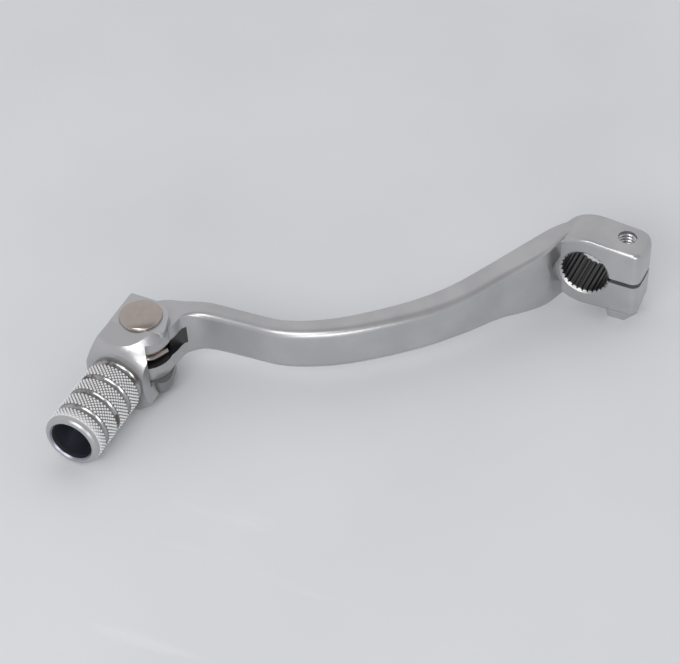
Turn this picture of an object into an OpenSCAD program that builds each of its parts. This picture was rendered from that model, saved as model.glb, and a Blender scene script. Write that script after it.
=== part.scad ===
// Folding gear lever for an off-road motorbike.
// A forged clamp hub with a splined bore carries an S-shaped arm; a sprung toe piece
// with a hollow knurled peg folds on a rivet at the arm's forked end.
// Lengths are in millimetres. The origin is the centre of the splined bore, +Y runs along
// the bore towards the engine, -Y outboard, +X towards the clamp ears and +Z up.

/* [Splined clamp hub] */
// Number of splines in the bore
spline_count = 28; // [20:1:40]
// Radius at the tips of the bore's teeth
spline_tip_radius = 6.15; // [5:0.05:8]
// Depth of the spline grooves
spline_depth = 0.55; // [0.3:0.05:0.9]
// Share of each pitch that the tooth tip fills
spline_land_share = 0.46; // [0.38:0.01:0.6]
// Depth of the lead-in chamfer at each mouth
bore_chamfer = 0.7; // [0.3:0.1:1.2]
// Width of the hub along the bore
hub_width = 12.6; // [10:0.1:16]
// Wall between the spline roots and the hub's round outside
hub_wall = 4.5; // [3.5:0.1:6]
// Reach of the clamp ears from the bore's centre
ear_reach = 14.9; // [14.6:0.1:18]
// How much lower the ears are than the round of the hub
ear_drop = 0.7; // [0:0.1:2]
// Angle that the clamp ears, slit and bolt droop about the bore, in degrees
clamp_droop = 3.5; // [0:0.5:10]
// Width of the clamp slit
slit_width = 1.3; // [0.8:0.1:2]
// Margin of the spot face round the splines, milled into the arm's root
spot_margin = 1.05; // [0.9:0.05:1.6]
// Rounding of the hub's outboard edges
hub_edge_round = 1.2; // [0.6:0.1:2]
// Rounding of the hub's engine-side edges
hub_back_round = 2.8; // [1.2:0.1:3.2]

/* [Pinch bolt] */
// Radius of the bolt's thread at mid depth
bolt_radius = 2.5; // [2.2:0.05:3]
// Radial gap of the plain hole below the slit
bolt_gap = 0.2; // [0.15:0.05:0.6]
// Bolt length under the head
bolt_length = 16; // [13:0.5:19]
// Width of the hexagon across its flats
bolt_across_flats = 8; // [7:0.5:9]
// Height of the hexagon
bolt_head_height = 4.6; // [3.5:0.1:6]
// Thickness of the collar under the hexagon
bolt_collar = 0.5; // [0.3:0.1:1]

/* [Arm] */
// Distance of the fold pin forward of the bore
arm_reach = 95.3; // [85:0.1:110]
// Distance of the fold pin outboard of the bore
arm_offset = 73; // [60:0.1:85]
// Half height of the arm
arm_half_height = 6.5; // [5.5:0.1:6.7]
// Half width of the arm at its slimmest
arm_half_width = 2.9; // [2.4:0.1:4]
// Rounding of the arm's long edges
arm_edge_round = 2.3; // [0.8:0.1:2.4]

/* [Forked end] */
// Radius of the arm's forked end about the fold pin
boss_radius = 7.2; // [6.8:0.1:7.8]
// Half height of the forked end
boss_half_height = 6.8; // [6.6:0.1:7.2]
// Half height of the spring slot
slot_half_height = 2.6; // [2.2:0.1:3]
// Radius of the spring pocket about the fold pin
pocket_radius = 6.3; // [6.1:0.1:6.5]

/* [Toe piece] */
// Gap between the forked end and each ear of the toe piece
ear_gap = 0.08; // [0.05:0.01:0.15]
// Radius of the toe ears behind the pin
toe_ear_radius = 7.2; // [6.4:0.1:8]
// Thickness of the upper ear
upper_ear = 2.4; // [1.8:0.1:3]
// Thickness of the lower ear
lower_ear = 5; // [3.5:0.1:5.6]
// Distance from the fold pin to the lower ear's front edge
lower_ear_front = 5.9; // [5:0.1:7]
// Distance from the fold pin to the bend where the top starts to slope
slope_start = 4.4; // [3.6:0.1:5]
// Drop of the sloped top at the root of the peg
slope_drop = 3.2; // [2:0.1:4]
// Radius of the waist at the toe block's side
waist_radius = 23; // [14:0.5:40]
// Swell of the turned shoulder one millimetre behind the peg's root
shoulder_swell = 3.3; // [2.4:0.1:4.2]
// Angle from straight ahead to the edge of the folding clearance, in degrees
fold_clearance = 33; // [30:1:40]
// Gap around the forked end inside the toe piece
channel_gap = 1.2; // [0.8:0.1:1.4]
// Distance from the fold pin to the root of the peg
peg_root = 11.3; // [10.8:0.1:13]
// How far the peg's axis stands forward of the fold pin
peg_shift = 3.1; // [0:0.1:4]
// How far the peg's axis hangs below the arm's middle
peg_drop = 5.15; // [3:0.05:6]

/* [Peg] */
// Radius at the knurl's peaks
peg_radius = 7.85; // [7:0.05:9]
// Depth of the knurl
knurl_depth = 0.5; // [0.3:0.05:0.7]
// Number of diamonds around the peg
knurl_count = 42; // [24:1:48]
// Rows of diamonds along one band
knurl_rows = 4; // [2:1:5]
// Number of knurled bands
band_count = 4; // [2:1:4]
// Length of one full band
band_length = 4.35; // [3:0.05:6]
// Width of the polished groove before each band
groove_width = 1.4; // [0.8:0.1:2]
// Depth of the polished grooves below the knurl
groove_depth = 0.55; // [0.2:0.05:0.8]
// Length of the plain end ring
end_ring = 1.5; // [1:0.1:2.5]
// Radius of the hole in the peg's end
peg_hole_radius = 5.7; // [4.5:0.1:6]
// Depth of the hole in the peg's end
peg_hole_depth = 20; // [10:0.5:21]

/* [Fold pin and spring] */
// Radius of the fold pin's shank
pin_radius = 3; // [2.5:0.05:3.2]
// Radial running gap of the pin in the forked end
pin_gap = 0.05; // [0.02:0.01:0.1]
// Radius of the pin's domed head
pin_head_radius = 5.7; // [5:0.1:6.4]
// Height of the pin's domed head
pin_head_height = 1.9; // [1.2:0.1:2.6]
// Radius of the spring wire
wire_radius = 1; // [0.7:0.05:1.1]
// Turns of the return spring
spring_turns = 1.3; // [1.1:0.05:1.4]

/* [Hidden] */
round_facets = 96;
edge_facets = 24;
corner_steps = 4;
touch = 0.02;
bore_wall_radius = spline_tip_radius + spline_depth;
hub_radius = bore_wall_radius + hub_wall;
ear_half_height = hub_radius - ear_drop;
pinch_offset = spline_tip_radius + bolt_radius + bolt_gap + 0.15;
seat_height = ear_half_height - 0.2;
channel_half_height = boss_half_height + ear_gap;
channel_radius = boss_radius + channel_gap;
pin_at = [-arm_reach, -arm_offset];
toe_top = channel_half_height + upper_ear;
toe_bottom = -channel_half_height - lower_ear;
band_pitch = band_length + groove_width;
knurl_pitch = band_length / knurl_rows;
peg_length = band_count * band_pitch - knurl_pitch + end_ring;
neck_radius = peg_radius + 0.15;
knurl_root = peg_radius - knurl_depth;
coil_radius = pin_radius + wire_radius + 0.6;

// Each arm station: share of the reach, share of the offset, half width and height as
// shares of the arm's own, and edge rounding as a share of the arm's.
arm_stations = [
    [0.064, 0.005, 0.85, 1.50, 0.5],
    [0.089, 0.055, 0.95, 1.50, 0.5],
    [0.120, 0.147, 1.20, 1.44, 0.5],
    [0.158, 0.223, 1.25, 1.30, 0.6],
    [0.202, 0.303, 1.23, 1.13, 0.75],
    [0.262, 0.428, 1.25, 1.02, 0.9],
    [0.346, 0.561, 1.22, 1.00, 1.0],
    [0.475, 0.707, 1.13, 1.00, 1.0],
    [0.570, 0.781, 1.07, 1.00, 1.0],
    [0.656, 0.820, 1.02, 1.00, 1.0],
    [0.750, 0.826, 1.00, 1.00, 1.0],
    [0.866, 0.833, 1.00, 1.00, 0.8],
    [0.926, 0.867, 1.02, 1.03, 0.35],
    [0.966, 0.914, 1.85, 1.03, 0.2],
    [1.000, 1.000, 2.25, 1.03, 0.2]
];
arm_steps = 4;

function spline_point(p0, p1, p2, p3, t) =
    0.5 * (2 * p1 + (p2 - p0) * t + (2 * p0 - 5 * p1 + 4 * p2 - p3) * t * t
    + (3 * p1 - p0 - 3 * p2 + p3) * t * t * t);

function station(i) = arm_stations[min(max(i, 0), len(arm_stations) - 1)];

function arm_at(u) =
    let (i = min(floor(u), len(arm_stations) - 2))
    spline_point(station(i - 1), station(i), station(i + 1), station(i + 2), u - i);

function arm_plan(u) = let (s = arm_at(u)) [-arm_reach * s[0], -arm_offset * s[1]];

// Four quarter arcs of one radius about four corner centres, as one closed loop.
function corner_loop(centres, radius) = [
    for (q = [0:3]) for (i = [0:corner_steps])
        let (a = 90 * q + 90 * i / corner_steps)
        [centres[q][0] + radius * cos(a), centres[q][1] + radius * sin(a)]
];

function arm_ring(u) =
    let (
        s = arm_at(u),
        here = arm_plan(u),
        ahead = arm_plan(min(u + 0.05, len(arm_stations) - 1)) - arm_plan(max(u - 0.05, 0)),
        side = [-ahead[1], ahead[0]] / norm(ahead),
        w = arm_half_width * s[2],
        h = min(arm_half_height * s[3], boss_half_height + max(0, 6 - u)),
        r = min(arm_edge_round * s[4], w - 0.2),
        loop = corner_loop([[w - r, h - r], [r - w, h - r], [r - w, r - h], [w - r, r - h]], r)
    )
    [for (p = loop) [here[0] + side[0] * p[0], here[1] + side[1] * p[0], p[1]]];

// Skin over a list of equal rings, closed at both ends.
module skin(rings) {
    n = len(rings[0]);
    last = len(rings) - 1;
    polyhedron(
        points = [for (r = rings) each r],
        faces = concat(
            [[for (i = [0:n - 1]) i]],
            [[for (i = [n - 1:-1:0]) last * n + i]],
            [for (k = [0:last - 1]) for (i = [0:n - 1])
                let (a = k * n + i, b = k * n + (i + 1) % n)
                each [[a, b + n, b], [a, a + n, b + n]]]
        ),
        convexity = 6
    );
}

// Disc or post with rounded rims, standing on z = 0.
module rounded_post(radius, height, low_round, high_round, facets) {
    rotate_extrude($fn = facets)
        polygon(concat(
            [[0, 0]],
            [for (i = [0:3]) [radius - low_round + low_round * sin(30 * i), low_round - low_round * cos(30 * i)]],
            [for (i = [0:3]) [radius - high_round + high_round * cos(30 * i), height - high_round + high_round * sin(30 * i)]],
            [[0, height]]
        ));
}

module hub_body() {
    front_corner = 2.2;
    back_corner = 4.5;
    hull() {
        rotate([-90, 0, 0])
            translate([0, 0, -hub_width / 2])
            rounded_post(hub_radius, hub_width, hub_edge_round, hub_back_round, edge_facets * 2);
        rotate([0, clamp_droop, 0])
            translate([ear_reach - front_corner, front_corner - hub_width / 2, -ear_half_height])
            rounded_post(front_corner, 2 * ear_half_height, hub_edge_round, hub_edge_round, edge_facets);
        rotate([0, clamp_droop, 0])
            translate([ear_reach - back_corner, hub_width / 2 - back_corner, -ear_half_height])
            rounded_post(back_corner, 2 * ear_half_height, hub_back_round, hub_back_round, edge_facets);
    }
}

// Outline of the splined bore: the tooth-tip circle and one wedge to each pitch.
module spline_outline() {
    pitch = 360 / spline_count;
    mouth_half = spline_tip_radius * sin(pitch * (1 - spline_land_share) / 2);
    root_half = mouth_half * 0.4;
    inside = spline_tip_radius - 2 * spline_depth;
    inside_half = 3 * mouth_half - 2 * root_half;
    circle(r = spline_tip_radius, $fn = round_facets);
    for (i = [0:spline_count - 1])
        rotate((i + 0.5) * pitch)
            polygon([
                [inside, -inside_half],
                [bore_wall_radius, -root_half],
                [bore_wall_radius, root_half],
                [inside, inside_half]
            ]);
}

module hub_cuts() {
    rotate([90, 0, 0])
        linear_extrude(height = 1.2 * hub_width, center = true)
        spline_outline();
    translate([0, -hub_width / 2, 0])
        rotate([90, 0, 0])
        cylinder(r = bore_wall_radius + spot_margin, h = hub_width, $fn = round_facets);
    for (side = [-1, 1])
        translate([0, side * hub_width / 2, 0])
            rotate([side * 90, 0, 0])
            translate([0, 0, -touch])
            cylinder(
                r1 = bore_wall_radius + 0.35 + touch,
                r2 = spline_tip_radius - 0.05,
                h = bore_chamfer + touch,
                $fn = round_facets
            );
    rotate([0, clamp_droop, 0]) {
        translate([0, -hub_width, -slit_width / 2])
            cube([2 * ear_reach, 2 * hub_width, slit_width]);
        translate([pinch_offset, 0, -2 * hub_radius])
            cylinder(r = bolt_radius + bolt_gap, h = 2 * hub_radius, $fn = edge_facets * 2);
        translate([pinch_offset, 0, 0])
            cylinder(r = bolt_radius, h = 2 * hub_radius, $fn = edge_facets * 2);
        translate([pinch_offset, 0, -seat_height - hub_radius])
            cylinder(r = bolt_across_flats * 0.66, h = hub_radius, $fn = edge_facets * 2);
    }
}

// Spring pocket and the slot that opens it to the front and rear of the forked end.
module fork_cuts() {
    reach = boss_radius * 1.6;
    translate([pin_at[0], pin_at[1], -slot_half_height])
        linear_extrude(height = 2 * slot_half_height)
        union() {
            circle(r = pocket_radius, $fn = round_facets);
            polygon([
                [0, 0],
                [reach * 0.78, reach * 0.6],
                [reach, -reach],
                [-reach, -reach],
                [-reach, -reach * 0.35]
            ]);
        }
    translate([pin_at[0], pin_at[1], -2 * boss_half_height])
        cylinder(r = pin_radius + pin_gap, h = 4 * boss_half_height, $fn = round_facets);
}

module lever_arm() {
    color([0.66, 0.66, 0.67])
        difference() {
            union() {
                hub_body();
                skin([for (k = [0:arm_steps * (len(arm_stations) - 1)]) arm_ring(k / arm_steps)]);
                translate([pin_at[0], pin_at[1], -boss_half_height])
                    cylinder(r = boss_radius, h = 2 * boss_half_height, $fn = round_facets);
            }
            hub_cuts();
            fork_cuts();
        }
}

// Plan of a toe ear: round behind the pin, square at its forward rear corner.
function ear_plan(front, corner) = concat(
    [for (a = [20:10:90]) toe_ear_radius * [cos(a), sin(a)]],
    [[-0.6 * toe_ear_radius, 1.03 * toe_ear_radius],
     [-0.92 * toe_ear_radius, 1.04 * toe_ear_radius],
     [-0.98 * toe_ear_radius, 0.98 * toe_ear_radius],
     [-0.98 * toe_ear_radius, -front]],
    [for (a = [270:15:345])
        [toe_ear_radius + 1 + corner * (cos(a) - 1), corner * (1 + sin(a)) - front]],
    [[toe_ear_radius + 1, -0.3 * toe_ear_radius]]
);

// Ear as a stack of its plan, drawn in towards its outer face by a quarter round.
module toe_ear(thickness, edge, front, corner) {
    plan = ear_plan(front, corner);
    steps = 4;
    skin([for (k = [0:steps + 1])
        let (
            a = k == 0 ? 0 : 90 * (k - 1) / steps,
            z = k == 0 ? 0 : thickness - edge + edge * sin(a),
            s = 1 - edge * (1 - cos(a)) / toe_ear_radius
        )
        [for (p = plan) [p[0] * s, p[1] * s, z]]]);
}

// Slab of a section drawn in the X-Z plane, from one distance ahead of the pin to another.
module slab(from, to, outline) {
    translate([0, -from, 0])
        rotate([90, 0, 0])
        linear_extrude(height = to - from)
        polygon(outline);
}

// Body of the block: the ears' section tapers and slopes to a wider one at the peg's root.
module block_body() {
    side = toe_ear_radius + 1 - touch;
    left = -0.98 * toe_ear_radius + touch;
    top = toe_top - touch;
    bottom = toe_bottom + 0.8;
    neck_left = -peg_shift - neck_radius - 0.2;
    neck_bottom = -peg_drop - neck_radius;
    end_top = toe_top - slope_drop;
    hull() {
        slab(slope_start - 1, slope_start, corner_loop(
            [[side - 0.5, top - 0.5], [left + 0.5, top - 0.5], [left + 0.5, bottom + 0.5], [side - 3, bottom + 0.5]],
            0.5
        ));
        slab(peg_root - 0.1, peg_root, [
            [side - 0.3, end_top],
            [left - 2.1, end_top],
            [neck_left, -peg_drop + 0.6 * neck_radius],
            [neck_left, -peg_drop - 0.5 * neck_radius],
            [-peg_shift - 0.6 * neck_radius, neck_bottom],
            [-peg_shift + 0.7 * neck_radius, neck_bottom],
            [side - 0.3, -peg_drop - 0.5 * neck_radius]
        ]);
    }
}

// Turned shoulder about the peg's axis that rounds the block down to the neck.
module shoulder() {
    steps = 10;
    depth = peg_root - slope_start + 3;
    rotate_extrude($fn = round_facets)
        polygon(concat(
            [[0, 0]],
            [for (i = [0:steps])
                [neck_radius + shoulder_swell * sqrt(depth) * i / steps, -depth * i * i / (steps * steps)]],
            [[0, -depth]]
        ));
}

// Space round the forked end, opened to the side that the toe folds to.
module fold_space() {
    far = 3 * channel_radius;
    translate([0, 0, -channel_half_height])
        linear_extrude(height = 2 * channel_half_height)
        union() {
            circle(r = channel_radius, $fn = round_facets);
            polygon([
                [0, 0],
                [far * sin(fold_clearance), -far * cos(fold_clearance)],
                [far, -far],
                [far, far],
                [0, far]
            ]);
        }
}

module toe_block() {
    waist_side = neck_radius - peg_shift + 0.15;
    difference() {
        intersection() {
            block_body();
            at_peg() shoulder();
        }
        translate([waist_side + waist_radius, -0.8 * lower_ear_front, -0.75 * peg_drop])
            rotate([90, 0, 0])
            cylinder(r = waist_radius, h = 2 * peg_root, $fn = 2 * round_facets);
        fold_space();
    }
}

// Knurled band: diamonds with a peak in the middle and sunk corners.
module knurl_band(diamonds) {
    columns = 2 * knurl_count;
    rows = 2 * diamonds;
    rings = [for (j = [0:rows])
        [for (i = [0:columns - 1])
            let (
                peak = (i + j) % 2 == 0 && j > 0 && j < rows,
                r = peak ? peg_radius : knurl_root,
                a = 360 * i / columns
            )
            [r * cos(a), r * sin(a), knurl_pitch * j / 2]]];
    polyhedron(
        points = [for (r = rings) each r],
        faces = concat(
            [[for (i = [0:columns - 1]) i]],
            [[for (i = [columns - 1:-1:0]) rows * columns + i]],
            [for (j = [0:rows - 1]) for (i = [0:columns - 1])
                let (
                    a = j * columns + i,
                    b = j * columns + (i + 1) % columns,
                    c = b + columns,
                    d = a + columns
                )
                each (i + j) % 2 == 0 ? [[a, d, b], [b, d, c]] : [[a, c, b], [a, d, c]]]
        ),
        convexity = 4
    );
}

// Turned core of the peg with one U-shaped groove before each band.
module peg_core() {
    sag_steps = 6;
    core_radius = knurl_root - touch;
    rotate_extrude($fn = round_facets)
        polygon(concat(
            [[0, -peg_root / 4], [core_radius, -peg_root / 4]],
            [for (b = [0:band_count - 1]) for (i = [0:sag_steps])
                [core_radius - groove_depth * sin(180 * i / sag_steps), b * band_pitch + groove_width * i / sag_steps]],
            [for (i = [0:3])
                [core_radius + 0.25 - (1 - cos(30 * i)), peg_length - end_ring + 0.3 + (end_ring - 0.3) * sin(30 * i)]],
            [[0, peg_length]]
        ));
}

// The peg stands on z = 0 with its grooves and bands in turn, the last band one row shorter.
module peg() {
    peg_core();
    for (b = [0:band_count - 1])
        translate([0, 0, b * band_pitch + groove_width])
            knurl_band(b < band_count - 1 ? knurl_rows : knurl_rows - 1);
}

module peg_hole() {
    rotate_extrude($fn = round_facets)
        polygon([
            [0, peg_length - peg_hole_depth - peg_hole_radius / 2],
            [peg_hole_radius, peg_length - peg_hole_depth],
            [peg_hole_radius, peg_length - 0.4],
            [peg_hole_radius + 0.5, peg_length + 0.1],
            [0, peg_length + 0.1]
        ]);
}

module at_peg() {
    translate([-peg_shift, -peg_root, -peg_drop])
        rotate([90, 0, 0])
        children();
}

module toe_tip() {
    color([0.64, 0.64, 0.65])
        translate([pin_at[0], pin_at[1], 0])
        difference() {
            union() {
                translate([0, 0, channel_half_height])
                    toe_ear(upper_ear, 0.4, slope_start - 0.3, 0.8);
                mirror([0, 0, 1])
                    translate([0, 0, channel_half_height])
                    toe_ear(lower_ear, lower_ear * 0.5, lower_ear_front, 2.6);
                toe_block();
                at_peg() peg();
            }
            at_peg() peg_hole();
            translate([0, 0, -toe_top * 2])
                cylinder(r = pin_radius, h = toe_top * 4, $fn = round_facets);
        }
}

module pivot_pin() {
    tail_height = 0.8;
    tail_radius = pin_radius + 0.8;
    color([0.5, 0.48, 0.46])
        translate([pin_at[0], pin_at[1], 0])
        rotate_extrude($fn = round_facets)
        polygon(concat(
            [[0, toe_bottom - tail_height]],
            [for (i = [0:3]) [tail_radius * sin(30 * i), toe_bottom - tail_height * cos(30 * i)]],
            [[pin_radius, toe_bottom], [pin_radius, toe_top], [pin_head_radius, toe_top]],
            [for (i = [0:6]) [pin_head_radius * cos(15 * i), toe_top + 0.35 + (pin_head_height - 0.35) * sin(15 * i)]]
        ));
}

// Torsion spring: a coil round the pin with one leg to each end of the slot.
module return_spring() {
    facets = 8;
    turn_steps = 26;
    pitch = 2 * wire_radius + 0.1;
    leg = 3;
    start = -20;
    coil = [for (k = [0:turn_steps])
        let (t = k / turn_steps, a = start - 360 * spring_turns * t)
        [coil_radius * cos(a), coil_radius * sin(a), pitch * spring_turns * (t - 0.5), a]];
    first = coil[0];
    end = coil[turn_steps];
    path = concat(
        [[first[0] - leg * sin(start), first[1] + leg * cos(start), first[2], start]],
        coil,
        [[end[0] + leg * 0.6 * sin(end[3]), end[1] - leg * 0.6 * cos(end[3]), end[2], end[3]]]
    );
    color([0.42, 0.4, 0.38])
        translate([pin_at[0], pin_at[1], 0])
        skin([for (p = path) [for (i = [0:facets - 1])
            let (b = 360 * i / facets)
            [p[0] + wire_radius * cos(b) * cos(p[3]), p[1] + wire_radius * cos(b) * sin(p[3]), p[2] + wire_radius * sin(b)]]]);
}

module pinch_bolt() {
    head_radius = bolt_across_flats / sqrt(3);
    head_base = -seat_height - bolt_collar - bolt_head_height;
    color([0.55, 0.55, 0.56])
        rotate([0, clamp_droop, 0])
        translate([pinch_offset, 0, 0])
        union() {
            translate([0, 0, -seat_height])
                cylinder(r = bolt_radius - touch, h = bolt_length, $fn = edge_facets * 2);
            translate([0, 0, -seat_height - bolt_collar])
                cylinder(r = bolt_across_flats * 0.48, h = bolt_collar, $fn = edge_facets * 2);
            intersection() {
                translate([0, 0, head_base])
                    cylinder(r = head_radius, h = bolt_head_height, $fn = 6);
                translate([0, 0, head_base])
                    cylinder(
                        r1 = bolt_across_flats * 0.49,
                        r2 = bolt_across_flats * 0.49 + bolt_head_height * 1.7,
                        h = bolt_head_height,
                        $fn = edge_facets * 2
                    );
            }
        }
}

lever_arm();
toe_tip();
pivot_pin();
return_spring();
pinch_bolt();
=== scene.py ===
# Looks of the folding gear lever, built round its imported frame. Lengths are in metres.
import math

import bmesh
import bpy
from mathutils import Matrix, Vector


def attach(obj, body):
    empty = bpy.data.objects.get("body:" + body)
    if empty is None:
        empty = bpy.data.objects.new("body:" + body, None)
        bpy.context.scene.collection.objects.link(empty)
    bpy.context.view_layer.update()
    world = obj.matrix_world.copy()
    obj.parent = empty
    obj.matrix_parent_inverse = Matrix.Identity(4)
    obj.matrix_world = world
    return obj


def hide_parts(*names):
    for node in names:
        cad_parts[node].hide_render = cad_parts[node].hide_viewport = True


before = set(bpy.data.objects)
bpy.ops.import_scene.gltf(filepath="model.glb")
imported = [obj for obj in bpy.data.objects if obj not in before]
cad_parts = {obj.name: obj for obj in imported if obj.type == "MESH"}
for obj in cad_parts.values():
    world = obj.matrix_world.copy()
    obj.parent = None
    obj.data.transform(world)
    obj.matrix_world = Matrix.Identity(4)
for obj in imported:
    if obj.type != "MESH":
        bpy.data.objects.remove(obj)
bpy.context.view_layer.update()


class Signal:
    def __init__(self, graph, socket):
        self.graph = graph
        self.socket = socket

    def math(self, operation, *others):
        return self.graph.node("ShaderNodeMath", {"operation": operation}, [self, *others])

    def __add__(self, other):
        return self.math("ADD", other)

    def __radd__(self, other):
        return self.math("ADD", other)

    def __sub__(self, other):
        return self.math("SUBTRACT", other)

    def __rsub__(self, other):
        return self.graph.node("ShaderNodeMath", {"operation": "SUBTRACT"}, [other, self])

    def __mul__(self, other):
        return self.math("MULTIPLY", other)

    def __rmul__(self, other):
        return self.math("MULTIPLY", other)

    def __gt__(self, other):
        return self.math("GREATER_THAN", other)

    def __lt__(self, other):
        return self.math("LESS_THAN", other)

    def size(self):
        return self.math("ABSOLUTE")

    def either(self, other):
        return self.math("MAXIMUM", other)

    def within(self, low, high):
        return self.graph.node(
            "ShaderNodeMapRange",
            {"interpolation_type": "SMOOTHSTEP"},
            {"Value": self, "From Min": low, "From Max": high},
        )


def distance(first, second):
    return (first * first + second * second).math("SQRT")


class Graph:
    def __init__(self, owner, target):
        owner.use_nodes = True
        self.owner = owner
        self.tree = owner.node_tree
        self.target = self.tree.nodes[target]

    def plug(self, socket, value):
        if isinstance(value, Signal):
            self.tree.links.new(value.socket, socket)
        else:
            socket.default_value = value

    def node(self, kind, settings=None, inputs=None, output=0):
        made = self.tree.nodes.new(kind)
        for key, value in (settings or {}).items():
            setattr(made, key, value)
        pairs = inputs.items() if isinstance(inputs, dict) else enumerate(inputs or [])
        for key, value in pairs:
            self.plug(made.inputs[key], value)
        return Signal(self, made.outputs[output])

    def place(self):
        return self.node("ShaderNodeTexCoord", output="Object")

    def axes(self):
        place = self.place()
        return [
            self.node("ShaderNodeSeparateXYZ", inputs=[place], output=axis) for axis in "XYZ"
        ]

    def noise(self, scale, detail, stretch=None):
        place = self.place()
        if stretch:
            place = self.node("ShaderNodeMapping", inputs={"Vector": place, "Scale": stretch})
        return self.node(
            "ShaderNodeTexNoise", inputs={"Vector": place, "Scale": scale, "Detail": detail}
        )

    def mix(self, factor, first, second):
        return self.node(
            "ShaderNodeMix",
            {"data_type": "RGBA"},
            {"Factor": factor, 6: first, 7: second},  # 6 and 7 are the colours A and B
            output=2,
        )

    def bump(self, height, depth, strength):
        return self.node(
            "ShaderNodeBump", inputs={"Strength": strength, "Distance": depth, "Height": height}
        )

    def feed(self, **sockets):
        for key, value in sockets.items():
            self.plug(self.target.inputs[key.replace("_", " ")], value)
        return self.owner


def finishGraph(name):
    return Graph(bpy.data.materials.new(name), "Principled BSDF")


def shade(level, tint=(1.0, 1.0, 1.0)):
    return (level * tint[0], level * tint[1], level * tint[2], 1.0)


coolTint = (0.99, 0.99, 1.0)
warmTint = (1.0, 0.88, 0.80)
pin = Vector((-0.0953, -0.0730))  # x and y of the fold pin
grainScale, grainDetail, grainDepth = 5200, 2.0, 0.00003  # of the blasted skin

armLook = {
    "bright": 0.53,
    "dull": 0.47,
    "patches": (90, 4.0),  # scale and detail
    "patchRange": (0.35, 0.68),
    "metal": 0.78,
    "roughness": 0.27,
    "patchRoughness": 0.06,
    "grainRoughness": 0.04,
    "grainStrength": 0.3,
    "recessShade": 0.08,  # painted shade inside the bore and the spring's slot
    "boreRadius": 0.0071,
    "boreHalf": 0.0058,
    "slotHalf": 0.00262,
    "slotReach": 0.0112,
}


def forgedAlloy(look):
    graph = finishGraph("forgedAlloy")
    x, y, z = graph.axes()
    grain = graph.noise(grainScale, grainDetail)
    patches = graph.noise(*look["patches"])
    # painted shade inside the bore and the spring's slot; near the pin the mask also darkens
    # the fork's solid outer skin
    bore = (distance(x, z) < look["boreRadius"]) * (y.size() < look["boreHalf"])
    nearPin = distance(x - pin.x, y - pin.y) < look["slotReach"]
    recessShade = bore.either(nearPin * (z.size() < look["slotHalf"]))
    skin = graph.mix(
        patches.within(*look["patchRange"]),
        shade(look["dull"], coolTint),
        shade(look["bright"], coolTint),
    )
    skinRoughness = look["roughness"] + look["patchRoughness"] * patches
    return graph.feed(
        Metallic=look["metal"],
        Base_Color=graph.mix(recessShade, skin, shade(look["recessShade"])),
        Roughness=skinRoughness + look["grainRoughness"] * grain,
        Normal=graph.bump(grain, grainDepth, look["grainStrength"]),
    )


toeLook = {
    "pegX": -0.0984,
    "pegZ": -0.00515,
    "pegRoot": 0.0113,  # in front of the pin, as ringStart and earReach are
    "ringStart": 0.0331,
    "earReach": 0.0062,
    "holeRadius": 0.0061,
    "valley": 0.00734,
    "peak": 0.00762,
    "channelHalf": 0.00684,
    "channelRadius": 0.0087,
    "body": 0.53,
    # painted shade in the knurl's valleys and painted highlight on its peaks
    "knurlValleyShade": 0.20,
    "knurlPeakHighlight": 1.0,
    # painted shade in the peg's grooves, with darker warm blotches
    "groove": 0.42,
    "blotchShare": 0.35,  # of the groove's level
    "grooveBlotches": (260, 4.0),  # scale and detail
    "blotchRange": (0.48, 0.62),
    # painted shade on the lower ear, which reflects the shaded table beneath it
    "ear": 0.30,
    "earTint": (1.0, 1.0, 0.98),
    # painted shade in the spring's channel round the pin
    "recessShade": 0.04,
    # painted shade, tinted blue, inside the peg's end hole
    "hole": 0.34,
    "holeTint": (0.88, 0.93, 1.08),
    "metal": 0.9,
    "knurlMetal": 0.6,  # taken off on the knurl
    "roughness": 0.27,
    "grainRoughness": 0.05,
    "pegPolish": 0.09,
    "ringRoughness": 0.12,
    "grainStrength": 0.25,
}


def toeAlloy(look):
    graph = finishGraph("toeAlloy")
    x, y, z = graph.axes()
    ahead = pin.y - y
    grain = graph.noise(grainScale, grainDetail)
    grooveBlotches = graph.noise(*look["grooveBlotches"])
    fromPeg = distance(x - look["pegX"], z - look["pegZ"])
    onPeg = ahead > look["pegRoot"]
    # painted shade inside the peg's end hole
    hole = onPeg * (fromPeg < look["holeRadius"])
    ring = ahead > look["ringStart"]
    knurl = onPeg * (fromPeg > look["valley"]) * (1 - ring)
    # painted shade in the spring's channel round the pin
    nearPin = distance(x - pin.x, y - pin.y) < look["channelRadius"]
    channel = nearPin * (z.size() < look["channelHalf"])
    # painted shade on the lower ear
    shadedLowEar = (z < -look["channelHalf"]) * (ahead < look["earReach"])
    body = shade(look["body"], coolTint)
    # painted shade in the knurl's valleys, painted highlight on its peaks
    knurlShadeAndHighlight = graph.mix(
        fromPeg.within(look["valley"], look["peak"]),
        shade(look["knurlValleyShade"]),
        shade(look["knurlPeakHighlight"]),
    )
    # painted shade in the grooves, with darker warm blotches
    grooved = graph.mix(
        grooveBlotches.within(*look["blotchRange"]),
        shade(look["groove"]),
        shade(look["groove"] * look["blotchShare"], warmTint),
    )
    pegColour = graph.mix(ring, graph.mix(knurl, grooved, knurlShadeAndHighlight), body)
    blockColour = graph.mix(shadedLowEar, body, shade(look["ear"], look["earTint"]))
    outside = graph.mix(onPeg, blockColour, pegColour)
    shown = graph.mix(channel, outside, shade(look["recessShade"]))
    skinRoughness = look["roughness"] + look["grainRoughness"] * grain
    return graph.feed(
        Metallic=look["metal"] - look["knurlMetal"] * knurl,
        Base_Color=graph.mix(hole, shown, shade(look["hole"], look["holeTint"])),
        Roughness=skinRoughness - look["pegPolish"] * onPeg + look["ringRoughness"] * ring,
        Normal=graph.bump(grain, grainDepth, look["grainStrength"]),
    )


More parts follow.
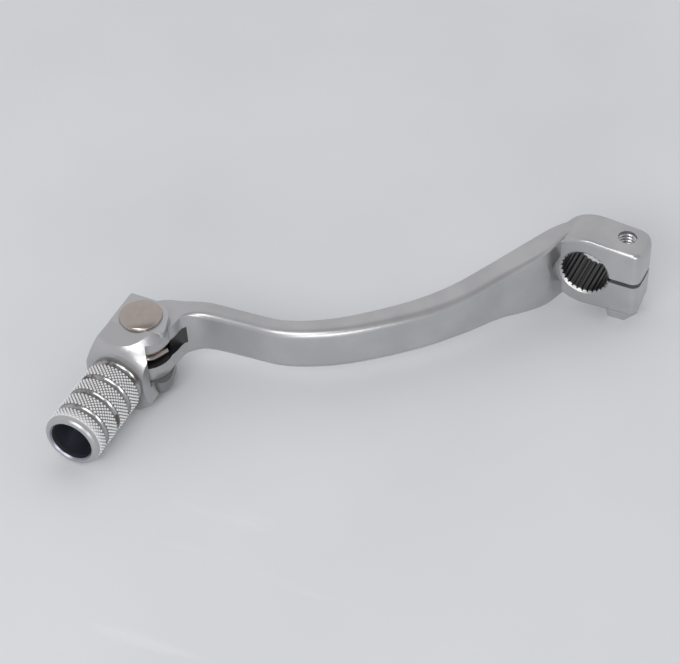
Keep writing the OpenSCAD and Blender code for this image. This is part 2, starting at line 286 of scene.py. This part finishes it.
steelLook = {
    "patches": (700, 3.0),  # scale and detail
    "lift": 1.2,  # of the lighter patches
    "patchRoughness": 0.08,
    "patchDepth": 0.00002,
    "patchStrength": 0.2,
}


def plainSteel(name, level, tint, roughness, look=steelLook):
    graph = finishGraph(name)
    patches = graph.noise(*look["patches"])
    return graph.feed(
        Metallic=1.0,
        Base_Color=graph.mix(patches, shade(level, tint), shade(level * look["lift"], tint)),
        Roughness=roughness + look["patchRoughness"] * patches,
        Normal=graph.bump(patches, look["patchDepth"], look["patchStrength"]),
    )


mergeDistance = 0.000002
dressed = [
    {
        "node": "lever_arm",
        "piece": "forgedArm",
        "body": "lever",
        "finish": forgedAlloy(armLook),
        "angle": 32,  # edges that turn by more degrees stay sharp
    },
    {
        "node": "toe_tip",
        "piece": "toePiece",
        "body": "toe",
        "finish": toeAlloy(toeLook),
        "angle": 24,
        "crispAngle": 8,  # the shoulder's faces keep clean lines between them
        "crispBox": [(-0.106, -0.084), (-0.0842, -0.0752), (0.0030, 0.0096)],
    },
    {
        "node": "pivot_pin",
        "piece": "foldPin",
        "body": "toe",
        "finish": plainSteel("pinSteel", 0.42, warmTint, 0.20),
        "angle": 32,
    },
    {
        "node": "return_spring",
        "piece": "returnSpring",
        "body": "lever",
        "finish": plainSteel("springSteel", 0.38, warmTint, 0.15),
        "angle": 60,
    },
    {
        "node": "pinch_bolt",
        "piece": "pinchBolt",
        "body": "lever",
        "finish": plainSteel("boltSteel", 0.55, (0.98, 1.0, 1.0), 0.20),
        "angle": 30,
    },
]


def addObject(name, data):
    made = bpy.data.objects.new(name, data)
    bpy.context.scene.collection.objects.link(made)
    return made


def addMesh(name, shape, finish):
    mesh = bpy.data.meshes.new(name)
    shape.to_mesh(mesh)
    shape.free()
    mesh.materials.append(finish)
    return addObject(name, mesh)


def sharpAngle(edge, row):
    if "crispBox" not in row:
        return row["angle"]
    middle = (edge.verts[0].co + edge.verts[1].co) / 2
    inside = all(low < value < high for value, (low, high) in zip(middle, row["crispBox"]))
    return row["crispAngle"] if inside else row["angle"]


def makeDressed(row):
    shape = bmesh.new()
    shape.from_mesh(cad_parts[row["node"]].data)
    bmesh.ops.remove_doubles(shape, verts=shape.verts, dist=mergeDistance)
    for face in shape.faces:
        face.smooth = True
    for edge in shape.edges:
        limit = math.radians(sharpAngle(edge, row))
        edge.smooth = len(edge.link_faces) == 2 and edge.calc_face_angle() < limit
    piece = addMesh(row["piece"], shape, row["finish"])
    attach(piece, row["body"])
    weighted = piece.modifiers.new("weighted", "WEIGHTED_NORMAL")
    weighted.keep_sharp = True
    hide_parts(row["node"])


for row in dressed:
    makeDressed(row)
print("dressed pieces done")

threadSettings = {
    "centre": 0.0090,  # from the bore's centre
    "low": 0.0061,
    "high": 0.0102,
    "radius": 0.00254,
    "depth": 0.00038,
    "pitch": 0.001,
    "mouth": 0.38,  # half the ridge's foot, in pitches
    "stepsPerTurn": 32,
    "droop": 3.5,  # degrees, as the clamp ears
}


def makeThread(settings):
    shape = bmesh.new()
    radius, low, pitch = settings["radius"], settings["low"], settings["pitch"]
    half = settings["mouth"] * pitch
    profile = [(radius, -half), (radius - settings["depth"], 0), (radius, half)]
    corners = [shape.verts.new((reach, 0, low + rise)) for reach, rise in profile]
    edges = [shape.edges.new((corners[i], corners[(i + 1) % 3])) for i in range(3)]
    turns = (settings["high"] - low - half) / pitch
    bmesh.ops.spin(
        shape,
        geom=corners + edges,
        axis=(0, 0, 1),
        dvec=(0, 0, pitch / settings["stepsPerTurn"]),
        angle=2 * math.pi * turns,
        steps=round(settings["stepsPerTurn"] * turns),
    )
    bmesh.ops.recalc_face_normals(shape, faces=shape.faces)
    bmesh.ops.transform(
        shape,
        verts=shape.verts,
        matrix=Matrix.Rotation(math.radians(settings["droop"]), 4, "Y")
        @ Matrix.Translation((settings["centre"], 0, 0)),
    )
    thread = addMesh("pinchThread", shape, plainSteel("threadAlloy", 0.55, coolTint, 0.20))
    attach(thread, "lever")


makeThread(threadSettings)
print("thread done")

floorSettings = {
    "peg": (-0.0984, -0.0130),  # x and z of the two points that the lever lies on
    "bolt": (0.0093, -0.0152),
    "size": 6.0,
    "pale": (0.835, 0.852, 0.868, 1),
    "dark": (0.800, 0.820, 0.836, 1),
    "scuff": (0.91, 0.925, 0.935, 1),
    "smudges": (14, 5.0),  # scale and detail
    "smudgeRange": (0.3, 0.7),
    "streaks": (9, 6.0, (1.0, 6.0, 1.0)),  # scale, detail and stretch
    "streakRange": (0.66, 0.76),
    "streakShare": 0.5,
    "roughness": 0.42,
    "smudgeRoughness": 0.1,
    "specular": 0.3,
}


def tableTop(settings):
    graph = finishGraph("tableTop")
    smudges = graph.noise(*settings["smudges"])
    streaks = graph.noise(*settings["streaks"])
    clean = graph.mix(
        smudges.within(*settings["smudgeRange"]), settings["dark"], settings["pale"]
    )
    scuffed = streaks.within(*settings["streakRange"]) * settings["streakShare"]
    return graph.feed(
        Base_Color=graph.mix(scuffed, clean, settings["scuff"]),
        Roughness=settings["roughness"] + settings["smudgeRoughness"] * smudges,
        Specular_IOR_Level=settings["specular"],
    )


def makeFloor(settings):
    (pegX, pegZ), (boltX, boltZ) = settings["peg"], settings["bolt"]
    slope = math.atan2(boltZ - pegZ, boltX - pegX)
    plane = bmesh.new()
    bmesh.ops.create_grid(plane, x_segments=2, y_segments=2, size=settings["size"] / 2)
    floor = addMesh("floor", plane, tableTop(settings))
    floor.data.transform(
        Matrix.Translation((boltX, 0, boltZ)) @ Matrix.Rotation(-slope, 4, "Y")
    )


makeFloor(floorSettings)

cameraSettings = {  # fitted to the photograph
    "location": (0.1780, -0.4673, 0.4271),
    "right": (0.902, 0.428, -0.064),
    "up": (-0.244, 0.626, 0.741),
    "lens": 131.1,
    "sensor": 36.0,
    "clip": (0.01, 20),
}


def makeCamera(settings):
    data = bpy.data.cameras.new("camera")
    data.lens = settings["lens"]
    data.sensor_width = settings["sensor"]
    data.clip_start, data.clip_end = settings["clip"]
    camera = addObject("camera", data)
    right = Vector(settings["right"]).normalized()
    up = Vector(settings["up"])
    up = (up - right * up.dot(right)).normalized()
    back = right.cross(up)
    turn = Matrix((right, up, back)).transposed().to_4x4()
    camera.matrix_world = Matrix.Translation(settings["location"]) @ turn
    bpy.context.scene.camera = camera


makeCamera(cameraSettings)

litPoint = Vector((-0.045, -0.045, 0.0))
lightSettings = [
    {
        "name": "keyLight",
        "azimuth": 4,  # degrees round from -Y, and up from the table
        "elevation": 38,
        "distance": 1.5,
        "width": 0.9,
        "height": 0.5,
        "power": 6.0,
    },
    {
        "name": "frontPanel",
        "azimuth": 27,
        "elevation": 10,
        "distance": 1.4,
        "width": 0.9,
        "height": 0.36,
        "power": 4.6,
    },
]


def makeLight(settings):
    data = bpy.data.lights.new(settings["name"], "AREA")
    data.shape = "RECTANGLE"
    data.size = settings["width"]
    data.size_y = settings["height"]
    data.energy = settings["power"]
    light = addObject(settings["name"], data)
    turn, rise = math.radians(settings["azimuth"]), math.radians(settings["elevation"])
    back = Vector(
        (math.sin(turn) * math.cos(rise), -math.cos(turn) * math.cos(rise), math.sin(rise))
    )
    light.location = litPoint + back * settings["distance"]
    light.rotation_mode = "QUATERNION"
    light.rotation_quaternion = (-back).to_track_quat("-Z", "Y")


for settings in lightSettings:
    makeLight(settings)

worldSettings = {
    "pale": (0.72, 0.72, 0.74, 1),
    "dim": (0.38, 0.38, 0.39, 1),  # behind the camera, so that the fronts stay grey
    "cameraSide": (0.42, -0.62, 0.66),
    "cone": (0.35, 0.85),
}


def makeWorld(settings):
    world = bpy.data.worlds.new("studio")
    bpy.context.scene.world = world
    graph = Graph(world, "Background")
    direction = graph.node("ShaderNodeTexCoord", output="Generated")
    facing = graph.node(
        "ShaderNodeVectorMath",
        {"operation": "DOT_PRODUCT"},
        [direction, settings["cameraSide"]],
        output="Value",
    )
    cone = facing.within(*settings["cone"])
    graph.feed(Color=graph.mix(cone, settings["pale"], settings["dim"]))


makeWorld(worldSettings)
bpy.context.scene.view_settings.view_transform = "Standard"
print("stage done")
